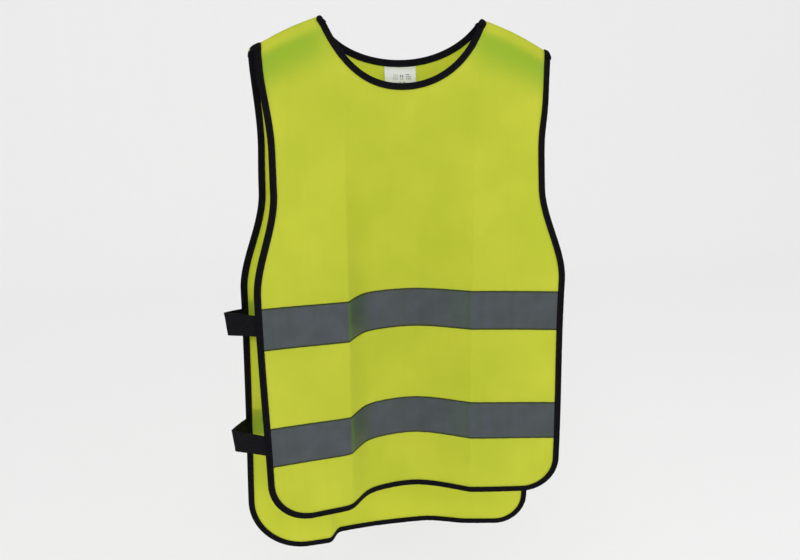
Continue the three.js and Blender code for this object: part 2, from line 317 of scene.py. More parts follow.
def neck_path(panel):
    """The neckline from the right neck point round to the left one."""
    share = np.linspace(0, 1, NECK_STEPS + 1)[:, None]

    def half(side):
        points = np.array([
            [side * NECK_TIP[side], 0],
            [side * (NECK_TIP[side] - panel.neck_run[side]), panel.neck_dip],
            [side * NECK_FLAT, panel.neck_drop],
            [0, panel.neck_drop],
        ], float)
        weights = ((1 - share) ** 3, 3 * share * (1 - share) ** 2, 3 * share ** 2 * (1 - share), share ** 3)
        return sum(weight * point for weight, point in zip(weights, points))

    return np.concatenate([half(RIGHT), half(LEFT)[::-1][1:]])


def offset_path(path, distance):
    """Moves a path sideways into the cloth."""
    return path + distance * sideways(path)


def hem_path(panel):
    below = offset_path(neck_path(panel), BINDING_WIDTH)
    below[:, 1] = panel.hem_drop
    right, left = (np.array([side * corner_centre(panel, side)[0], panel.hem_drop]) for side in (RIGHT, LEFT))
    shares = np.arange(1, SHOULDER_STEPS)[:, None] / SHOULDER_STEPS
    return np.concatenate([
        right + (below[0] - right) * shares, below, below[-1] + (left - below[-1]) * shares])


def outer_path(panel):
    """The whole outer edge, from the left shoulder tip round the hem to the right shoulder tip."""
    return np.concatenate([
        side_path(panel, LEFT), corner_path(panel, LEFT), hem_path(panel)[::-1],
        corner_path(panel, RIGHT)[::-1], side_path(panel, RIGHT)[::-1],
    ])


def even_path(path, spacing):
    """The same path with points an even distance apart."""
    run = run_along(path)
    places = np.linspace(0, run[-1], max(2, int(round(run[-1] / spacing)) + 1))
    return joined(*(np.interp(places, run, path[:, axis]) for axis in range(path.shape[1])))


def to_seam(flat, top_drop, reach=30):
    """Shears the top of a bound edge so that it ends along the shoulder line."""
    shift = shoulder_drop(flat[..., 0]) - top_drop
    fade = 1 - smooth(flat[..., 1], (top_drop, top_drop + reach))
    return flat + joined(np.zeros_like(shift), shift * fade)


def cloth_columns(panel):
    """The cloth's grid of places: columns from right to left, rows from the top down."""
    outer = offset_path(outer_path(panel), CLOTH_INSET)
    edges = {LEFT: outer[:SIDE_ROWS + 1], RIGHT: outer[-SIDE_ROWS - 1:][::-1]}
    bottoms = outer[SIDE_ROWS:len(outer) - SIDE_ROWS][::-1]
    neck_edge = offset_path(neck_path(panel), CLOTH_INSET)
    side_columns = (len(bottoms) - len(neck_edge)) // 2
    share = np.linspace(0, 1, SIDE_ROWS + 1)[:, None]
    columns = []
    for column, bottom in enumerate(bottoms):
        side = RIGHT if column < len(bottoms) / 2 else LEFT
        edge = edges[side]
        from_edge = column if side == RIGHT else len(bottoms) - 1 - column
        out = max(0.0, 1 - from_edge / side_columns)
        neck_place = neck_edge[min(max(column - side_columns, 0), len(neck_edge) - 1)]
        across = neck_place[0] + (edge[0][0] - neck_place[0]) * out
        top_drop = float(shoulder_drop(across)) + SEAM_TOUCH
        if out == 0:
            top_drop = max(top_drop, neck_place[1])
        top = np.array([across, top_drop])
        bow = (edge - (edge[0] + (edge[-1] - edge[0]) * share)) * out
        columns.append(top + (bottom - top) * share + bow)
    return np.stack(columns)


# ---- Meshes ----

def quad_object(name, points, quads, flat, material):
    """An object of quads. flat holds each point's place on the pattern, for its materials."""
    mesh = bpy.data.meshes.new(name)
    mesh.vertices.add(len(points))
    mesh.vertices.foreach_set("co", (points * MM).astype(np.float32).ravel())
    mesh.loops.add(quads.size)
    mesh.loops.foreach_set("vertex_index", quads.astype(np.int32).ravel())
    mesh.polygons.add(len(quads))
    mesh.polygons.foreach_set("loop_start", np.arange(0, quads.size, 4, dtype=np.int32))
    mesh.polygons.foreach_set("use_smooth", np.ones(len(quads), bool))
    mesh.update(calc_edges=True)
    layer = mesh.uv_layers.new(name="flat")
    layer.data.foreach_set("uv", (flat * MM).astype(np.float32)[quads.ravel()].ravel())
    mesh.materials.append(material)
    made = bpy.data.objects.new(name, mesh)
    bpy.context.scene.collection.objects.link(made)
    return made


def grid_quads(columns, rows, start=0):
    column, row = np.meshgrid(np.arange(columns - 1), np.arange(rows - 1), indexing="ij")
    corner = (start + column * rows + row).ravel()
    return joined(corner, corner + 1, corner + rows + 1, corner + rows)


def slab(name, outside, inside, flat, material):
    """A closed sheet between two grids of points, with a rim all round."""
    columns, rows = outside.shape[:2]
    count = columns * rows
    rim = np.concatenate([
        np.arange(rows),
        np.arange(1, columns) * rows + rows - 1,
        (columns - 1) * rows + np.arange(rows - 2, -1, -1),
        np.arange(columns - 2, 0, -1) * rows,
    ])
    after = np.roll(rim, -1)
    walls = joined(rim, rim + count, after + count, after)
    quads = np.concatenate([grid_quads(columns, rows), grid_quads(columns, rows, count)[:, ::-1], walls])
    points = np.concatenate([outside.reshape(-1, 3), inside.reshape(-1, 3)])
    spread = np.concatenate([flat.reshape(-1, 2)] * 2)
    return face_outwards(quad_object(name, points, quads, spread, material))


def face_outwards(made):
    """Turns a closed mesh's faces out, judged by the sign of its volume."""
    mesh = made.data
    points = np.empty(len(mesh.vertices) * 3, np.float32)
    mesh.vertices.foreach_get("co", points)
    points = points.reshape(-1, 3)
    corners = np.empty(len(mesh.loops), np.int32)
    mesh.loops.foreach_get("vertex_index", corners)
    a, b, c, d = points[corners.reshape(-1, 4)].transpose(1, 0, 2).astype(float)
    volume = (np.cross(b - a, c - a) * a).sum() + (np.cross(c - a, d - a) * a).sum()
    if volume < 0:
        mesh.flip_normals()
    return made


# ---- Materials ----

WAVE_PITCH = math.pi / 10


class Nodes:
    """A short way to write a node material whose textures follow the flat pattern, in millimetres."""

    def __init__(self, name):
        self.material = bpy.data.materials.new(name)
        self.material.use_nodes = True
        self.tree = self.material.node_tree
        self.tree.nodes.clear()
        self.shader = self.add("ShaderNodeBsdfPrincipled")
        self.output = self.add("ShaderNodeOutputMaterial")
        self.join(self.shader, "BSDF", self.output, "Surface")
        flat = self.add("ShaderNodeUVMap")
        flat.uv_map = "flat"
        scale = self.add("ShaderNodeVectorMath")
        scale.operation = "SCALE"
        scale.inputs["Scale"].default_value = 1 / MM
        self.join(flat, "UV", scale, 0)
        self.place = scale.outputs[0]
        self.bump = None

    def add(self, kind, **inputs):
        """A new node with some of its inputs filled."""
        node = self.tree.nodes.new(kind)
        for socket, value in inputs.items():
            self.fill(node.inputs[socket.replace("_", " ")], value)
        return node

    def join(self, source, output, target, socket):
        self.tree.links.new(source.outputs[output], target.inputs[socket])

    def fill(self, socket, value):
        """Sets a socket to a number or a colour, or links another node's output to it."""
        if isinstance(value, bpy.types.NodeSocket):
            self.tree.links.new(value, socket)
        else:
            socket.default_value = (*value, 1.0) if isinstance(value, tuple) else value

    def math(self, operation, first, second=0.0):
        node = self.add("ShaderNodeMath")
        node.operation = operation
        self.fill(node.inputs[0], first)
        self.fill(node.inputs[1], second)
        return node.outputs[0]

    def noise(self, size, detail=3.0, stretch=(1, 1, 1)):
        """Noise whose features are about size millimetres across."""
        mapping = self.add("ShaderNodeMapping", Vector=self.place, Scale=[value / size for value in stretch])
        node = self.add("ShaderNodeTexNoise", Scale=1.0, Detail=detail, Vector=mapping.outputs["Vector"])
        return node.outputs["Fac"]

    def bands(self, pitch, axis, distortion=0.4):
        """Ribs pitch millimetres apart, counted along axis X or Y."""
        node = self.add("ShaderNodeTexWave", Scale=WAVE_PITCH / pitch, Distortion=distortion, Detail=1.0,
                        Vector=self.place)
        node.bands_direction = axis
        return node.outputs["Fac"]

    def shade(self):
        """The share of a piece's painted shade at each place, as the mesh's shade attribute has it."""
        node = self.add("ShaderNodeAttribute")
        node.attribute_name = "shade"
        return node.outputs["Fac"]

    def coordinate(self, axis):
        return self.add("ShaderNodeSeparateXYZ", Vector=self.place).outputs[axis]

    def blend(self, share, first, second):
        node = self.add("ShaderNodeMix")
        node.data_type = "RGBA"
        for socket, value in ((0, share), (6, first), (7, second)):
            self.fill(node.inputs[socket], value)
        return node.outputs[2]

    def tint(self, base, share, colour, strength):
        """Lays a colour over the base where share is high."""
        return self.blend(self.math("MULTIPLY", share, strength), base, colour)

    def varied(self, value, spread, low):
        """A number that rises from low by spread with a value."""
        return self.math("ADD", self.math("MULTIPLY", value, spread), low)

    def raise_by(self, height, distance, strength=1.0):
        """Adds a height, distance millimetres from low to high, to the surface's bump."""
        node = self.add("ShaderNodeBump", Strength=strength, Distance=distance * MM, Height=height)
        if self.bump is not None:
            self.fill(node.inputs["Normal"], self.bump)
        self.bump = node.outputs["Normal"]

    def finish(self, colour, roughness, **constants):
        inputs = self.shader.inputs
        self.fill(inputs["Base Color"], colour)
        self.fill(inputs["Roughness"], roughness)
        if self.bump is not None:
            self.fill(inputs["Normal"], self.bump)
        for socket, value in constants.items():
            inputs[socket.replace("_", " ")].default_value = value
        return self.material


def stepped(nodes, value, low, high):
    """0 below low and 1 above high."""
    node = nodes.add("ShaderNodeMapRange", From_Min=low, From_Max=high, Value=value)
    node.clamp = True
    return node.outputs["Result"]


# The colours of each material. The knit's and the beads' shaded colours are painted shade, the beads' also a
# painted reflection of the cloth, and the knit's glow colour is a painted glow.
KNIT = SimpleNamespace(
    deep=(0.524, 0.565, 0.048), light=(0.594, 0.613, 0.061), streak=(0.46, 0.50, 0.03),
    loop=(0.66, 0.68, 0.09), speck=(0.35, 0.40, 0.02), shaded=(0.28, 0.46, 0.036),
    through=(0.90, 0.95, 0.20), painted_glow=(0.44, 0.52, 0.03, 1.0),
)
TWILL = SimpleNamespace(
    deep=(0.0022, 0.0020, 0.0036), light=(0.0050, 0.0047, 0.0072), worn=(0.010, 0.010, 0.013))
BEADS = SimpleNamespace(
    deep=(0.047, 0.057, 0.060), light=(0.063, 0.076, 0.085), scuff=(0.036, 0.041, 0.045),
    bead=(0.115, 0.13, 0.145), cool=(0.066, 0.068, 0.096), warm=(0.038, 0.047, 0.034),
    shaded=(0.08, 0.17, 0.04), sewn=(0.018, 0.031, 0.003),
)
RIBS = SimpleNamespace(
    deep=(0.0020, 0.0019, 0.0032), light=(0.0050, 0.0047, 0.0070), worn=(0.012, 0.012, 0.015))
SATIN = SimpleNamespace(deep=(0.66, 0.68, 0.635), light=(0.76, 0.78, 0.74), print=(0.09, 0.09, 0.09))
THROUGH_TINT, THROUGH_SHARE = 0.8, 0.40
TAPE_HALF = BAND_WIDTH / 2
TAPE_SEWN_LINE = (2.5, 1.5)
PRINT_FILL = 0.68


def cloth_material():
    """Fluorescent warp knit: fine wales and courses, slight cloudiness, fuzz, painted shade from the mesh's
    shade attribute, and a faint painted glow.
    """
    nodes = Nodes("yellow_cloth_knit")
    wales = nodes.bands(1.1, "X")
    courses = nodes.bands(0.8, "Y")
    loops = nodes.math("MULTIPLY", wales, courses)
    cloud = nodes.noise(70, 4)
    streak = nodes.noise(9, 3, (1, 0.12, 1))
    speck = nodes.noise(0.9, 2)
    nodes.raise_by(loops, 0.18, 0.55)
    nodes.raise_by(nodes.noise(3.5, 3), 0.12, 0.35)
    base = nodes.blend(stepped(nodes, cloud, 0.36, 0.66), KNIT.deep, KNIT.light)
    base = nodes.tint(base, stepped(nodes, streak, 0.5, 0.75), KNIT.streak, strength=0.16)
    base = nodes.tint(base, loops, KNIT.loop, strength=0.16)
    base = nodes.tint(base, stepped(nodes, speck, 0.55, 0.8), KNIT.speck, strength=0.14)
    # Painted shade: darker green below the shoulder line and, inside the back, just above each strap.
    base = nodes.tint(base, nodes.shade(), KNIT.shaded, strength=0.85)
    # Painted light: the emission gives the fluorescent cloth a faint glow of its own, which lightens it where
    # it lies in shade.
    material = nodes.finish(
        base, nodes.varied(speck, 0.16, 0.70), Sheen_Weight=0.05, Sheen_Roughness=0.45,
        Specular_IOR_Level=0.2, Emission_Color=KNIT.painted_glow, Emission_Strength=0.16,
    )
    let_light_through(nodes, nodes.blend(THROUGH_TINT, base, KNIT.through), THROUGH_SHARE)
    return material


def let_light_through(nodes, colour, share):
    """Thin cloth passes some light on to its other side."""
    through = nodes.add("ShaderNodeBsdfTranslucent", Color=colour)
    mixed = nodes.add("ShaderNodeMixShader", Fac=share)
    nodes.join(nodes.shader, "BSDF", mixed, 1)
    nodes.join(through, "BSDF", mixed, 2)
    nodes.join(mixed, "Shader", nodes.output, "Surface")


def binding_material():
    """Folded black tape: a fine diagonal twill, rubbed greyer on its high places."""
    nodes = Nodes("black_binding_twill")
    twill = nodes.math("MULTIPLY", nodes.bands(0.9, "X"), nodes.bands(0.7, "Y"))
    rub = nodes.noise(6, 4)
    nodes.raise_by(twill, 0.16, 0.7)
    nodes.raise_by(nodes.noise(2.2, 3), 0.15, 0.4)
    base = nodes.blend(stepped(nodes, rub, 0.45, 0.75), TWILL.deep, TWILL.light)
    base = nodes.tint(base, twill, TWILL.worn, strength=0.35)
    return nodes.finish(base, nodes.varied(rub, 0.25, 0.6), Specular_IOR_Level=0.06)


def tape_material():
    """Grey glass bead tape: a close bead grain, a faint mottle, an olive line at each sewn edge, and a
    painted shade and reflection at the folds.
    """
    nodes = Nodes("reflective_tape_beads")
    beads = nodes.noise(0.55, 1)
    mottle = nodes.noise(26, 4)
    scuff = nodes.noise(11, 5, (1, 4, 1))
    nodes.raise_by(beads, 0.10, 0.5)
    nodes.raise_by(nodes.noise(18, 2), 0.35, 0.35)
    base = nodes.blend(stepped(nodes, mottle, 0.32, 0.7), BEADS.deep, BEADS.light)
    base = nodes.tint(base, stepped(nodes, scuff, 0.58, 0.78), BEADS.scuff, strength=0.22)
    base = nodes.tint(base, stepped(nodes, beads, 0.55, 0.75), BEADS.bead, strength=0.26)
    streak = nodes.noise(13, 3, (1, 0.07, 1))
    base = nodes.tint(base, stepped(nodes, streak, 0.5, 0.72), BEADS.cool, strength=0.45)
    base = nodes.tint(base, stepped(nodes, streak, 0.46, 0.3), BEADS.warm, strength=0.40)
    # Painted shade and reflection: darker green where a fold turns the tape towards the cloth and away from
    # the light.
    base = nodes.tint(base, nodes.shade(), BEADS.shaded, strength=0.62)
    from_middle = nodes.math("ABSOLUTE", nodes.math("SUBTRACT", nodes.coordinate("Y"), TAPE_HALF))
    sewn = stepped(nodes, from_middle, *(TAPE_HALF - inset for inset in TAPE_SEWN_LINE))
    base = nodes.blend(sewn, base, BEADS.sewn)
    return nodes.finish(base, nodes.varied(mottle, 0.18, 0.36), Metallic=0.15, Specular_IOR_Level=0.35)


def elastic_material():
    """Ribbed black elastic: ribs along its length, close rows of rubber across it."""
    nodes = Nodes("black_elastic_ribs")
    ribs = nodes.bands(2.1, "Y", 0.1)
    rows = nodes.bands(0.9, "X", 0.3)
    dust = nodes.noise(5, 4)
    nodes.raise_by(ribs, 0.32, 0.9)
    nodes.raise_by(rows, 0.14, 0.7)
    base = nodes.blend(stepped(nodes, dust, 0.42, 0.8), RIBS.deep, RIBS.light)
    base = nodes.tint(base, ribs, RIBS.worn, strength=0.35)
    return nodes.finish(base, nodes.varied(rows, 0.2, 0.5), Specular_IOR_Level=0.07)


def thread_material(name, dark, light):
    """Twisted sewing thread."""
    nodes = Nodes(name)
    twist = nodes.bands(0.5, "X", 1.0)
    nodes.raise_by(twist, 0.08, 0.6)
    base = nodes.blend(nodes.math("MULTIPLY", twist, nodes.noise(4, 2)), dark, light)
    return nodes.finish(base, 0.55, Specular_IOR_Level=0.2)


# Each row of printed bars on the label: its drop, start, end, pitch and half height.
LABEL_PRINT = (
    (9.0, 10, 16, 2.1, 0.45), (11.2, 10, 17, 1.7, 0.45), (13.4, 10, 16, 2.4, 0.45),
    (10.2, 18.4, 22.6, 3.0, 1.5), (13.6, 18.4, 22.6, 2.1, 0.5),
    (8.4, 25, 31, 3.4, 0.7), (10.8, 25, 32, 2.6, 0.7), (13.2, 26, 32, 3.1, 0.7), (17.4, 17, 25, 4.4, 0.4),
)


def label_material():
    """White satin with short grey printed bars in place of any wording."""
    nodes = Nodes("label_satin_print")
    nodes.raise_by(nodes.bands(0.5, "X", 0.2), 0.05, 0.4)
    across, down = nodes.coordinate("X"), nodes.coordinate("Y")
    base = nodes.blend(nodes.noise(7, 3), SATIN.deep, SATIN.light)
    for row_drop, start, end, pitch, tall in LABEL_PRINT:
        in_row = nodes.math("LESS_THAN", nodes.math("ABSOLUTE", nodes.math("SUBTRACT", down, row_drop)), tall)
        in_span = nodes.math(
            "MULTIPLY", nodes.math("GREATER_THAN", across, start), nodes.math("LESS_THAN", across, end))
        bars = nodes.math("LESS_THAN", nodes.math("FRACT", nodes.math("DIVIDE", across, pitch)), PRINT_FILL)
        printed = nodes.math("MULTIPLY", nodes.math("MULTIPLY", in_row, in_span), bars)
        base = nodes.tint(base, printed, SATIN.print, strength=0.85)
    return nodes.finish(base, 0.42, Sheen_Weight=0.15, Specular_IOR_Level=0.45)


CLOTH = cloth_material()
BINDING = binding_material()
TAPE = tape_material()
ELASTIC = elastic_material()
BLACK_THREAD = thread_material("black_thread", (0.004, 0.004, 0.006), (0.018, 0.018, 0.022))
OLIVE_THREAD = thread_material("olive_thread", (0.040, 0.048, 0.010), (0.10, 0.115, 0.025))
YELLOW_THREAD = thread_material("yellow_thread", (0.40, 0.47, 0.035), (0.62, 0.68, 0.09))
LABEL = label_material()


# ---- Sewing ----

STITCH_PITCH = 3.2
STITCH_LENGTH = 2.3
STITCH_RADIUS = 0.24
STITCH_SIDES = 6
STITCH_RINGS = ((-0.5, 0.35), (-0.38, 0.9), (0.38, 0.9), (0.5, 0.35))
STITCH_CAP = ((0, 1, 2, 3), (0, 3, 4, 5))
THREAD_STEP = 0.2


def stitches(name, centres, along, normal, material):
    """Short raised stitches, one at each centre, lying along a direction."""
    along = unit(along)
    across = unit(np.cross(normal, along))
    up = np.cross(along, across)
    angle = 2 * np.pi * np.arange(STITCH_SIDES) / STITCH_SIDES
    turned = across[:, None] * np.cos(angle)[None, :, None] + up[:, None] * np.sin(angle)[None, :, None]
    points = np.stack([(centres + along * (place * STITCH_LENGTH))[:, None] + STITCH_RADIUS * size * turned
                       for place, size in STITCH_RINGS], axis=1)
    each = len(STITCH_RINGS) * STITCH_SIDES
    ring, side = grid(np.arange(len(STITCH_RINGS) - 1), np.arange(STITCH_SIDES)).reshape(-1, 2).T
    here = ring * STITCH_SIDES + side
    beside = ring * STITCH_SIDES + (side + 1) % STITCH_SIDES
    walls = joined(here, beside, beside + STITCH_SIDES, here + STITCH_SIDES)
    caps = np.array(STITCH_CAP)
    one = np.concatenate([walls, caps[:, ::-1], caps + each - STITCH_SIDES])
    quads = (one[None] + each * np.arange(len(centres))[:, None, None]).reshape(-1, 4)
    spread = joined(np.tile(np.arange(each) * THREAD_STEP, len(centres)),
                    np.repeat(np.arange(len(centres)) * STITCH_PITCH, each))
    return face_outwards(quad_object(name, points.reshape(-1, 3), quads, spread, material))


def sewn_row(panel, name, flat, lift, material):
    """A row of stitches on the cloth along a path of places."""
    row = even_path(flat, STITCH_PITCH)[1:-1]
    along = np.gradient(surface(panel, row), axis=0)
    normal = outward(panel, row)
    return stitches(name, surface(panel, row) + normal * lift, along, normal * np.sign(lift), material)


# ---- Pieces of a panel ----

BINDING_HALF = 1.25
BINDING_HOLLOW = 0.72
BINDING_PUFF = 0.22
FOLD_CENTRE = 1.3
LEAF_STEPS = 6
TURN_STEPS = 8
STITCH_IN = 6.4
STITCH_PUFF = 0.75
HOLLOW_PUFF = 0.5
GATHER, GATHER_LENGTH, GATHER_FROM = 0.10, 9.6, 0.3
TAPE_CORNER = 3.0
TAPE_CORNER_REACH = 4.5


def fold_section(half, puff):
    """The folded tape's section as (distance in from the edge, distance out of the cloth)."""
    leaf = np.linspace(BINDING_WIDTH, FOLD_CENTRE, LEAF_STEPS)
    rise = half + puff * np.sin(np.pi * (leaf - FOLD_CENTRE) / (BINDING_WIDTH - FOLD_CENTRE))
    turn = np.pi * np.arange(1, TURN_STEPS) / TURN_STEPS
    bend = joined(FOLD_CENTRE - half * np.sin(turn), half * np.cos(turn))
    top = joined(leaf, rise)
    return np.concatenate([top, bend, (top * [1, -1])[::-1]])


def bound_places(path, inward, top_drop):
    """Places at a distance in from a bound edge. Its ends follow the seam and have rounded corners."""
    run = np.arange(len(path)) * PATH_SPACING
    from_end = np.minimum(run, run[-1] - run)
    corner = TAPE_CORNER * max(0.0, 1 - inward / TAPE_CORNER_REACH) ** 2 * np.exp(-from_end / TAPE_CORNER)
    return to_seam(offset_path(path, inward), top_drop) + joined(np.zeros_like(corner), corner)


def binding(panel, name, path, top_drop):
    """Tape folded over a panel's edge, with a row of stitches on both leaves."""
    path = even_path(path, PATH_SPACING)
    run = np.arange(len(path)) * PATH_SPACING
    faces = []
    for half, puff in ((BINDING_HALF, BINDING_PUFF), (BINDING_HOLLOW, BINDING_PUFF * HOLLOW_PUFF)):
        lines = []
        for inward, lift in fold_section(half, puff):
            flat = bound_places(path, inward, top_drop)
            gather = 1 + GATHER * np.sin(run * 2 * np.pi / GATHER_LENGTH) * (abs(lift) > GATHER_FROM)
            lines.append(lifted(panel, flat, lift * gather))
        faces.append(np.stack(lines, axis=1))
    round_section = run_along(fold_section(BINDING_HALF, BINDING_PUFF))
    tape = slab(name, *faces, grid(run, round_section), BINDING)
    inner = to_seam(offset_path(path, STITCH_IN), top_drop)
    lift = BINDING_HALF + BINDING_PUFF * STITCH_PUFF
    rows = [sewn_row(panel, f"{name}_stitching_{word}", inner, sign * lift, BLACK_THREAD)
            for word, sign in (("outside", 1), ("inside", -1))]
    return [tape, *rows]


JOIN_LENGTH = 7.0
JOIN_LIFT = 1.65
JOIN_THICKNESS = 0.45
JOIN_RISE = 1.0
JOIN_ROUNDING = 1.5
JOIN_ROUNDING_REACH = 2.5
JOIN_OVERHANG = 0.4
JOIN_COLUMNS, JOIN_ROWS, JOIN_TURN_STEPS = 13, 8, 10


def tape_join(name, outline, at_end, top_drop):
    """The tape that goes over the shoulder from the front's binding to the back's."""
    inward = np.linspace(-JOIN_OVERHANG, BINDING_WIDTH + JOIN_OVERHANG, JOIN_COLUMNS)
    down = np.linspace(JOIN_LENGTH, 0, JOIN_ROWS)
    near_end = int(JOIN_LENGTH / PATH_SPACING) + 2
    angle = np.linspace(0, np.pi, JOIN_TURN_STEPS + 1)[1:-1, None]
    faces = []
    for lift in (JOIN_LIFT + JOIN_THICKNESS, JOIN_LIFT):
        legs = []
        for panel in (FRONT, BACK):
            path = even_path(outline(panel), PATH_SPACING)
            leg = []
            for distance in inward:
                moved = bound_places(path, distance, top_drop)[::-1 if at_end else 1][:near_end]
                run = np.arange(near_end) * PATH_SPACING
                leg.append(joined(*(np.interp(down, run, axis) for axis in moved.T)))
            legs.append(lifted(panel, np.stack(leg), lift))
        columns = []
        for front, back, share in zip(*legs, np.linspace(-1, 1, len(inward))):
            middle = (front[-1] + back[-1]) / 2
            over = middle + (front[-1] - middle) * np.cos(angle)
            over[:, 2:] += (JOIN_RISE + lift - JOIN_LIFT) * np.sin(angle)
            column = np.concatenate([front, over, back[::-1]])
            fade = np.exp(-down / JOIN_ROUNDING_REACH)
            fall = np.concatenate([fade, np.ones(len(over)), fade[::-1]])
            column[:, 2] -= JOIN_ROUNDING * abs(share) ** 3 * fall
            columns.append(column)
        faces.append(np.stack(columns))
    join = slab(name, *faces, grid(inward, np.arange(faces[0].shape[1])), BINDING)
    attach(join, "back")


# Where painted shade and painted reflection tint the cloth and tape: spans over which a tint starts and ends.
SHOULDER_TINT = ((7, 20), (24, 72))
SHOULDER_TINT_SIDES = (66, 108)
STRAP_TINT = ((-24, 12), (24, 32))
STRAP_TINT_SIDE = (150, 166)
CREASE_EDGE_TINT = ((-1.5, 1), (2, 7))
CREASE_FACE_START, CREASE_FACE_END = (0, 3), (-6, 16)
CREASE_FACE_SHARE = 0.3
VALLEY_TINT = ((46, 84), (86, 90))
VALLEY_SHARE = 0.16


def set_shade(made, values):
    """Gives both faces of a slab their share of the material's painted shade."""
    attribute = made.data.attributes.new("shade", "FLOAT", "POINT")
    attribute.data.foreach_set("value", np.tile(np.asarray(values, np.float32).ravel(), 2))


def shoulder_shade(flat):
    """Painted shade: the cloth is greener and darker in a band below the shoulder line, where the shoulders'
    two layers lie together, under a light top edge.
    """
    across, drop = flat[..., 0], flat[..., 1]
    return between(drop - shoulder_drop(across), *SHOULDER_TINT) * smooth(np.abs(across), SHOULDER_TINT_SIDES)


def strap_shade(panel, flat):
    """Painted shadow: inside the back's right edge the cloth is greener and darker just above each strap, in
    the strap's shade.
    """
    above = sum(between(flat[..., 1] - top, *STRAP_TINT) for top in STRAP_TOPS)
    return above * smooth(-flat[..., 0], STRAP_TINT_SIDE) * (panel is BACK)


def cloth(panel):
    flat = cloth_columns(panel)
    knit = slab(f"{panel.name}_knit_panel", lifted(panel, flat, CLOTH_HALF), lifted(panel, flat, -CLOTH_HALF),
                flat, CLOTH)
    set_shade(knit, shoulder_shade(flat) + strap_shade(panel, flat))
    return knit


def crease_shade_and_reflection(panel, flat):
    """Painted shade and reflection: the tape is tinted with the cloth's green and darkened where a fold turns
    the two towards each other.
    """
    across = flat[..., 0]
    sharp, soft = panel.creases[0][0], panel.creases[1][0]
    edge = between(across - sharp, *CREASE_EDGE_TINT)
    face = smooth(across - sharp, CREASE_FACE_START) * (1 - smooth(across - soft, CREASE_FACE_END))
    valley = between(across, *VALLEY_TINT)
    return np.maximum(np.maximum(edge, CREASE_FACE_SHARE * face), VALLEY_SHARE * valley)


TAPE_COLUMNS = 260
TAPE_ROWS = 28
TAPE_SEWN_IN = 1.6
TAPE_STITCH_LIFT = 0.08


def reflective_tape(panel, height):
    """A reflective band from binding to binding, sewn along both its edges."""
    drops = BAND_DROPS[height] + np.linspace(0, BAND_WIDTH, TAPE_ROWS + 1)
    share = np.linspace(0, 1, TAPE_COLUMNS + 1)[:, None]
    right, left = (side * (half_width(panel, side, drops) - TAPE_INSET) for side in (RIGHT, LEFT))
    across = right + (left - right) * share
    flat = joined(across, np.broadcast_to(drops, across.shape))
    name = f"{panel.name}_{height}_reflective_tape"
    printed = flat - [0, BAND_DROPS[height]]
    tape = slab(name, lifted(panel, flat, TAPE_FAR), lifted(panel, flat, TAPE_NEAR), printed, TAPE)
    set_shade(tape, crease_shade_and_reflection(panel, flat))
    rows = []
    for word, drop in (("top", TAPE_SEWN_IN), ("bottom", BAND_WIDTH - TAPE_SEWN_IN)):
        line = joined(across[:, 0], np.full(len(across), BAND_DROPS[height] + drop))[2:-2]
        lift = TAPE_FAR + TAPE_STITCH_LIFT
        rows.append(sewn_row(panel, f"{name}_{word}_stitching", line, lift, OLIVE_THREAD))
    return [tape, *rows]


def sheet_area(columns):
    """The flat area of a grid of places, in square metres."""
    a, b = columns[:-1, :-1], columns[1:, 1:]
    c, d = columns[1:, :-1], columns[:-1, 1:]
    first, second = b - a, d - c
    return float(np.abs(first[..., 0] * second[..., 1] - first[..., 1] * second[..., 0]).sum() / 2) * MM * MM


# ---- Building ----


def settle(piece, panel):
    """Puts a panel's piece on its body: the back's pieces are attached to the back, and the front's stay
    where they are.
    """
    if panel is FRONT:
        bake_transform(piece)
    else:
        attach(piece, "back")


def build_panel(panel):
    knit = cloth(panel)
    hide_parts(f"{panel.name}_panel")
    neck = binding(panel, f"{panel.name}_neck_tape", neck_path(panel), 0)
    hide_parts(f"{panel.name}_neck_binding")
    edge = binding(panel, f"{panel.name}_edge_tape", outer_path(panel), TIP_DROP)
    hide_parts(f"{panel.name}_edge_binding")
    made = [knit, *neck, *edge]
    sheet_area(cloth_columns(panel))
    for height, drop in BAND_DROPS.items():
        band = reflective_tape(panel, height)
        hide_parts(f"{panel.name}_{height}_reflective_band")
        made += band
    for piece in made:
        settle(piece, panel)


SEAM_RADIUS = 1.0
SEAM_HOLLOW = 0.55
SEAM_FLATTEN = 0.7
SEAM_WRAP, SEAM_TURN_STEPS = 0.75 * np.pi, 12
SEAM_END = 3.0
SEAM_SPACING = 1.5
SEAM_PULL, SEAM_PULL_ROWS = 0.10, 3.1
SEAM_STITCH_SPACING = 2.6
SEAM_STITCH_PLACE = (0.98, -0.75)
SEAM_STITCH_FACE = (0.92, 0.4)
ALLOWANCE_START, ALLOWANCE_END, ALLOWANCE_ROWS = 0.8, 7.0, 8
ALLOWANCE_WAVE, ALLOWANCE_WAVE_LENGTH = 0.25, 2.1
ALLOWANCE_HALF = 0.35


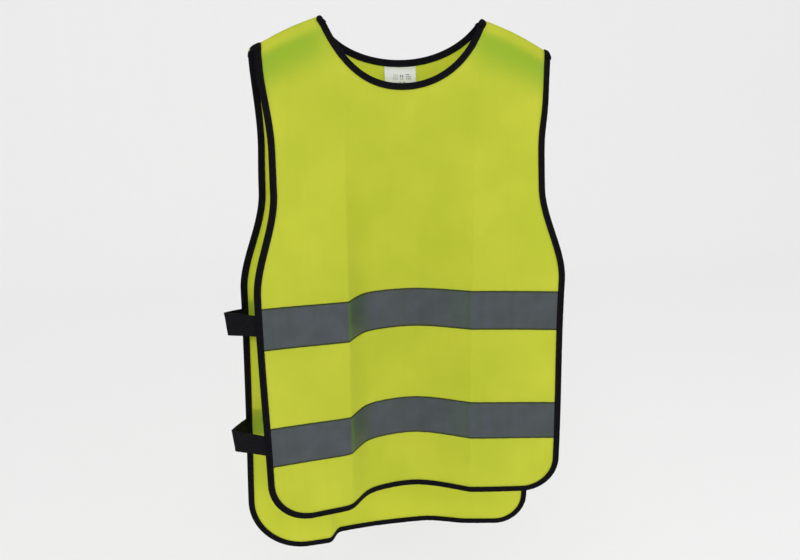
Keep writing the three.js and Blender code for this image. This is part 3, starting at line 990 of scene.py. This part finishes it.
def shoulder_seam(side, word):
    """The seam's rolled ridge, its overlocked allowance inside, and the stitches along it."""
    start, end = NECK_TIP[side] + CLOTH_INSET, FRONT.arm_tip[side] - SEAM_END
    across = side * np.linspace(start, end, int((end - start) / SEAM_SPACING))
    drop = shoulder_drop(across)
    line = joined(across, np.zeros_like(across), -drop)
    pulled = SEAM_PULL * np.sin(np.arange(len(across)) * 2 * np.pi / SEAM_PULL_ROWS)
    angle = np.linspace(-SEAM_WRAP, SEAM_WRAP, SEAM_TURN_STEPS + 1)

    def roll(radius):
        ring = joined(np.zeros_like(angle), np.sin(angle) * radius, np.cos(angle) * radius * SEAM_FLATTEN)
        grown = ring[None] * (1 + pulled)[:, None, None]
        return line[:, None] + grown - [0, 0, SEAM_RADIUS * SEAM_FLATTEN]

    ridge = slab(f"{word}_shoulder_seam_ridge", roll(SEAM_RADIUS), roll(SEAM_RADIUS * SEAM_HOLLOW),
                 grid(across, angle), CLOTH)
    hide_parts(f"{word}_shoulder_seam")
    down = np.linspace(ALLOWANCE_START, ALLOWANCE_END, ALLOWANCE_ROWS)
    wavy = ALLOWANCE_WAVE * np.sin(across / ALLOWANCE_WAVE_LENGTH)[:, None] * (down / ALLOWANCE_END)[None, :]
    middle = joined(np.broadcast_to(across[:, None], wavy.shape), wavy, -drop[:, None] - down[None, :])
    half = np.array([0, ALLOWANCE_HALF, 0])
    inner = slab(f"{word}_shoulder_seam_allowance", middle - half, middle + half, grid(across, down), CLOTH)
    centres = even_path(line, SEAM_STITCH_SPACING)[1:-1]
    along = np.gradient(centres, axis=0)
    rows = []
    for panel in (FRONT, BACK):
        turned = np.array([0, panel.facing, 1])
        normal = np.tile(turned * [0, *SEAM_STITCH_FACE], (len(centres), 1))
        places = centres + turned * [0, *SEAM_STITCH_PLACE] * SEAM_RADIUS
        rows.append(stitches(f"{word}_shoulder_{panel.name}_stitching", places, along, normal, YELLOW_THREAD))
    for piece in (ridge, inner, *rows):
        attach(piece, "back")


# ---- Straps and label ----

STRAP_HALF = 0.6
STRAP_LIFT = 2.3
STRAP_SEWN = 3.4
STRAP_RISE = 2.0
STRAP_LEAN = 3.0
STRAP_SPREAD = 0.08
STRAP_FOLD_OUT = {"right_upper": 22, "right_lower": 18, "left_upper": -30, "left_lower": -30}
STRAP_FOLD_SHARE = 0.7
STRAP_ROUNDING = 3.2
STRAP_STEPS = 7
STRAP_ROWS = 18
STRAP_SPACING = 1.0
STRAP_BEAD, STRAP_BEAD_WIDTH = 0.35, 1.2
STRAP_RIPPLE, STRAP_RIPPLE_ALONG, STRAP_RIPPLE_ACROSS = 0.10, 2.6, 3.1
TACK_LIFT = 0.1
TACK_PITCH = 2.6
TACK_ROW_GAP = 2
TACK_BOTTOM_IN, TACK_TOP_IN = 2, 1


def inner_place(panel, side, drop, inward):
    """Seen from above, a place just inside a panel's edge, on the face towards the wearer."""
    flat = np.array([side * (half_width(panel, side, drop) - inward), drop])
    return lifted(panel, flat, -STRAP_LIFT)[:2]


def rounded(points, radius):
    """A path through points with its corners rounded."""
    path = [points[0]]
    for before, corner, after in zip(points, points[1:], points[2:]):
        back, on = before - corner, after - corner
        reach = min(radius, np.linalg.norm(back) / 2, np.linalg.norm(on) / 2)
        start = corner + back / np.linalg.norm(back) * reach
        end = corner + on / np.linalg.norm(on) * reach
        for step in range(STRAP_STEPS + 1):
            share = step / STRAP_STEPS
            path.append((1 - share) ** 2 * start + 2 * share * (1 - share) * corner + share ** 2 * end)
    return np.array([*path, points[-1]])


def strap(side, word, height):
    """Ribbed elastic from the back edge to the front edge, with its slack folded to one side."""
    node = f"{word}_{height}_strap"
    low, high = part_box(node)
    drop = -(low[2] + high[2]) / 2 / MM
    (back_in, back_out), (front_in, front_out) = (
        [inner_place(panel, side, drop, BINDING_WIDTH / 2 + inward) for inward in (STRAP_SEWN, 0)]
        for panel in (BACK, FRONT))
    fold_out = side * STRAP_FOLD_OUT[f"{word}_{height}"]
    fold = back_out + [fold_out, (front_out - back_out)[1] * STRAP_FOLD_SHARE]
    path = even_path(rounded([back_in, back_out, fold, front_out, front_in], STRAP_ROUNDING), STRAP_SPACING)
    square = sideways(path)
    run = np.arange(len(path)) * STRAP_SPACING
    width = np.linspace(-STRAP_WIDTH / 2, STRAP_WIDTH / 2, STRAP_ROWS + 1)
    thick = STRAP_HALF * (1 + STRAP_BEAD * bump(STRAP_WIDTH / 2 - np.abs(width), STRAP_BEAD_WIDTH))
    slack = np.sin(np.pi * run / run[-1])[:, None]
    lean = side * STRAP_LEAN * slack * width / STRAP_WIDTH
    ripple = STRAP_RIPPLE * np.sin(run / STRAP_RIPPLE_ALONG)[:, None] * np.sin(width / STRAP_RIPPLE_ACROSS)
    heights = -drop + STRAP_RISE * slack + width * (1 + STRAP_SPREAD * slack ** 2)
    faces = []
    for sign in (1, -1):
        plan = path[:, None] + square[:, None] * (sign * thick + ripple)[..., None]
        plan[..., 0] += lean
        faces.append(np.concatenate([plan, heights[..., None]], axis=-1))
    ribbon = slab(f"{node}_elastic", *faces, grid(run, width), ELASTIC)
    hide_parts(node)
    tacks = [tack(f"{node}_{name}_tack", path, square, end, run_in, drop)
             for name, end, run_in in (("back", 1, 1), ("front", -2, -1))]
    for piece in (ribbon, *tacks):
        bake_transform(piece)


def tack(name, path, square, place, run_in, drop):
    """The two upright rows of close stitches that hold a strap's end, on both of its faces."""
    heights = np.arange(-STRAP_WIDTH / 2 + TACK_BOTTOM_IN, STRAP_WIDTH / 2 - TACK_TOP_IN, TACK_PITCH)
    centres, normals = [], []
    for row in (place, place + run_in * TACK_ROW_GAP):
        for out in (square[row], -square[row]):
            for height in heights:
                centres.append([*(path[row] + out * (STRAP_HALF + TACK_LIFT)), height - drop])
                normals.append([*out, 0])
    along = np.tile([0.0, 0.0, 1.0], (len(centres), 1))
    return stitches(name, np.array(centres), along, np.array(normals), BLACK_THREAD)


LABEL_HALF = 0.16
LABEL_GAP = 0.1
LABEL_CURL, LABEL_CURL_MIDDLE = 1.6, 0.4
LABEL_WAVE, LABEL_WAVE_LENGTH = 0.35, 5
LABEL_TUCK = 4.0
LABEL_FREE_RANGE = (1.0, 12.0)
LABEL_COLUMNS, LABEL_ROWS = 40, 44
LABEL_HEM_ROWS = 4
LABEL_HEM_GAP = 0.05
UNPRINTED = 60  # further down the flat label than any printing


def neck_label():
    """A satin label that hangs from the back neck binding and curls a little at its foot."""
    low, high = (np.array(corner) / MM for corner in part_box("neck_label"))
    wide, _, tall = high - low
    flat = grid(np.linspace(0, wide, LABEL_COLUMNS), np.linspace(-LABEL_TUCK, tall, LABEL_ROWS))
    across, down = flat[..., 0] + low[0], flat[..., 1]
    bow = (flat[..., 0] / wide * 2 - 1) ** 2
    sewn = lifted(BACK, joined(across, down - high[2]), -CLOTH_HALF - LABEL_HALF - LABEL_GAP)[..., 1]
    curl = LABEL_CURL * np.clip(down / tall, 0, 1) ** 2 * (LABEL_CURL_MIDDLE + (1 - LABEL_CURL_MIDDLE) * bow)
    free = (low[1] + high[1]) / 2 - curl + LABEL_WAVE * np.sin(across / LABEL_WAVE_LENGTH)
    y = sewn + (free - sewn) * smooth(down, LABEL_FREE_RANGE)
    places = joined(across, y, high[2] - down)
    half = np.array([0, LABEL_HALF, 0])
    satin = slab("neck_label_satin", places - half, places + half, flat, LABEL)
    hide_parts("neck_label")
    turned = places[:, -LABEL_HEM_ROWS:] - [0, LABEL_HALF * 2 + LABEL_HEM_GAP, 0]
    plain = flat[:, -LABEL_HEM_ROWS:] + [0, UNPRINTED]
    hem = slab("neck_label_hem", turned - half, turned + half, plain, LABEL)
    for piece in (satin, hem):
        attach(piece, "label")


# ---- Stage, light and camera ----

FLOOR_DROP = 1000
SWEEP_NEAR = -4000
SWEEP_BACK = 2600
SWEEP_RADIUS = 900
SWEEP_TOP = 3500
SWEEP_HALF = 5000
SWEEP_STEPS = 24
FLOOR_COLOUR = (0.84, 0.84, 0.84)
FLOOR_GRAIN = 0.985
FLOOR_GLOW = 0.10
WORLD_STRENGTH = 0.83
LIGHT_AIM = (0, 0, -0.33)
LIGHT_SIZE = 1.6
LIGHTS = (("key", (-0.5, -2.3, 1.1), 16), ("fill", (1.7, -1.8, 0.1), 7))
WHITE = (1.0, 1.0, 1.0, 1.0)


def studio_sweep():
    """A pale floor that turns up into a backdrop."""
    angle = np.linspace(0, np.pi / 2, SWEEP_STEPS + 1)
    bend = joined(SWEEP_BACK + SWEEP_RADIUS * np.sin(angle), -FLOOR_DROP + SWEEP_RADIUS * (1 - np.cos(angle)))
    profile = np.concatenate([[[SWEEP_NEAR, -FLOOR_DROP]], bend, [[SWEEP_BACK + SWEEP_RADIUS, SWEEP_TOP]]])
    points = np.array([[x, y, z] for x in (-SWEEP_HALF, SWEEP_HALF) for y, z in profile])
    nodes = Nodes("studio_paper")
    grain = nodes.noise(40, 3)
    nodes.raise_by(grain, 0.3, 0.1)
    shade = nodes.blend(grain, FLOOR_COLOUR, tuple(value * FLOOR_GRAIN for value in FLOOR_COLOUR))
    paper = nodes.finish(shade, 0.9, Emission_Color=WHITE, Emission_Strength=FLOOR_GLOW)
    floor = quad_object("studio_floor", points, grid_quads(2, len(profile)), points[:, :2], paper)


def aimed(name, data, place, ahead):
    """A light or camera at a place, pointing ahead."""
    made = bpy.data.objects.new(name, data)
    made.location = place
    made.rotation_mode = "QUATERNION"
    made.rotation_quaternion = ahead.to_track_quat("-Z", "Y")
    bpy.context.scene.collection.objects.link(made)
    return made


def studio_light():
    world = bpy.data.worlds.new("studio")
    world.use_nodes = True
    background = world.node_tree.nodes["Background"]
    background.inputs["Color"].default_value = WHITE
    background.inputs["Strength"].default_value = WORLD_STRENGTH
    bpy.context.scene.world = world
    for name, place, power in LIGHTS:
        data = bpy.data.lights.new(name, "AREA")
        data.size = LIGHT_SIZE
        data.energy = power
        aimed(name, data, place, Vector(LIGHT_AIM) - Vector(place))
    bpy.context.scene.view_settings.view_transform = "Standard"


CAMERA_TARGET = (1, 0, -313)
CAMERA_DISTANCE = 905
CAMERA_AZIMUTH = -10
CAMERA_ELEVATION = 14
CAMERA_LENS = 32.2


def camera():
    """Looks at the vest from a little to its right and above its middle."""
    azimuth, elevation = math.radians(CAMERA_AZIMUTH), math.radians(CAMERA_ELEVATION)
    ahead = Vector((-math.sin(azimuth) * math.cos(elevation),
                    math.cos(azimuth) * math.cos(elevation),
                    -math.sin(elevation)))
    data = bpy.data.cameras.new("camera")
    data.lens = CAMERA_LENS
    data.clip_end = 50
    place = (Vector(CAMERA_TARGET) - ahead * CAMERA_DISTANCE) * MM
    bpy.context.scene.camera = aimed("camera", data, place, ahead)


for each_panel in (FRONT, BACK):
    build_panel(each_panel)
for each_side, side_word in ((RIGHT, "right"), (LEFT, "left")):
    shoulder_seam(each_side, side_word)
    tape_join(f"{side_word}_neck_tape_join", neck_path, each_side == LEFT, 0)
    tape_join(f"{side_word}_armhole_tape_join", outer_path, each_side == RIGHT, TIP_DROP)
    for strap_height in ("upper", "lower"):
        strap(each_side, side_word, strap_height)
neck_label()
studio_sweep()
studio_light()
camera()
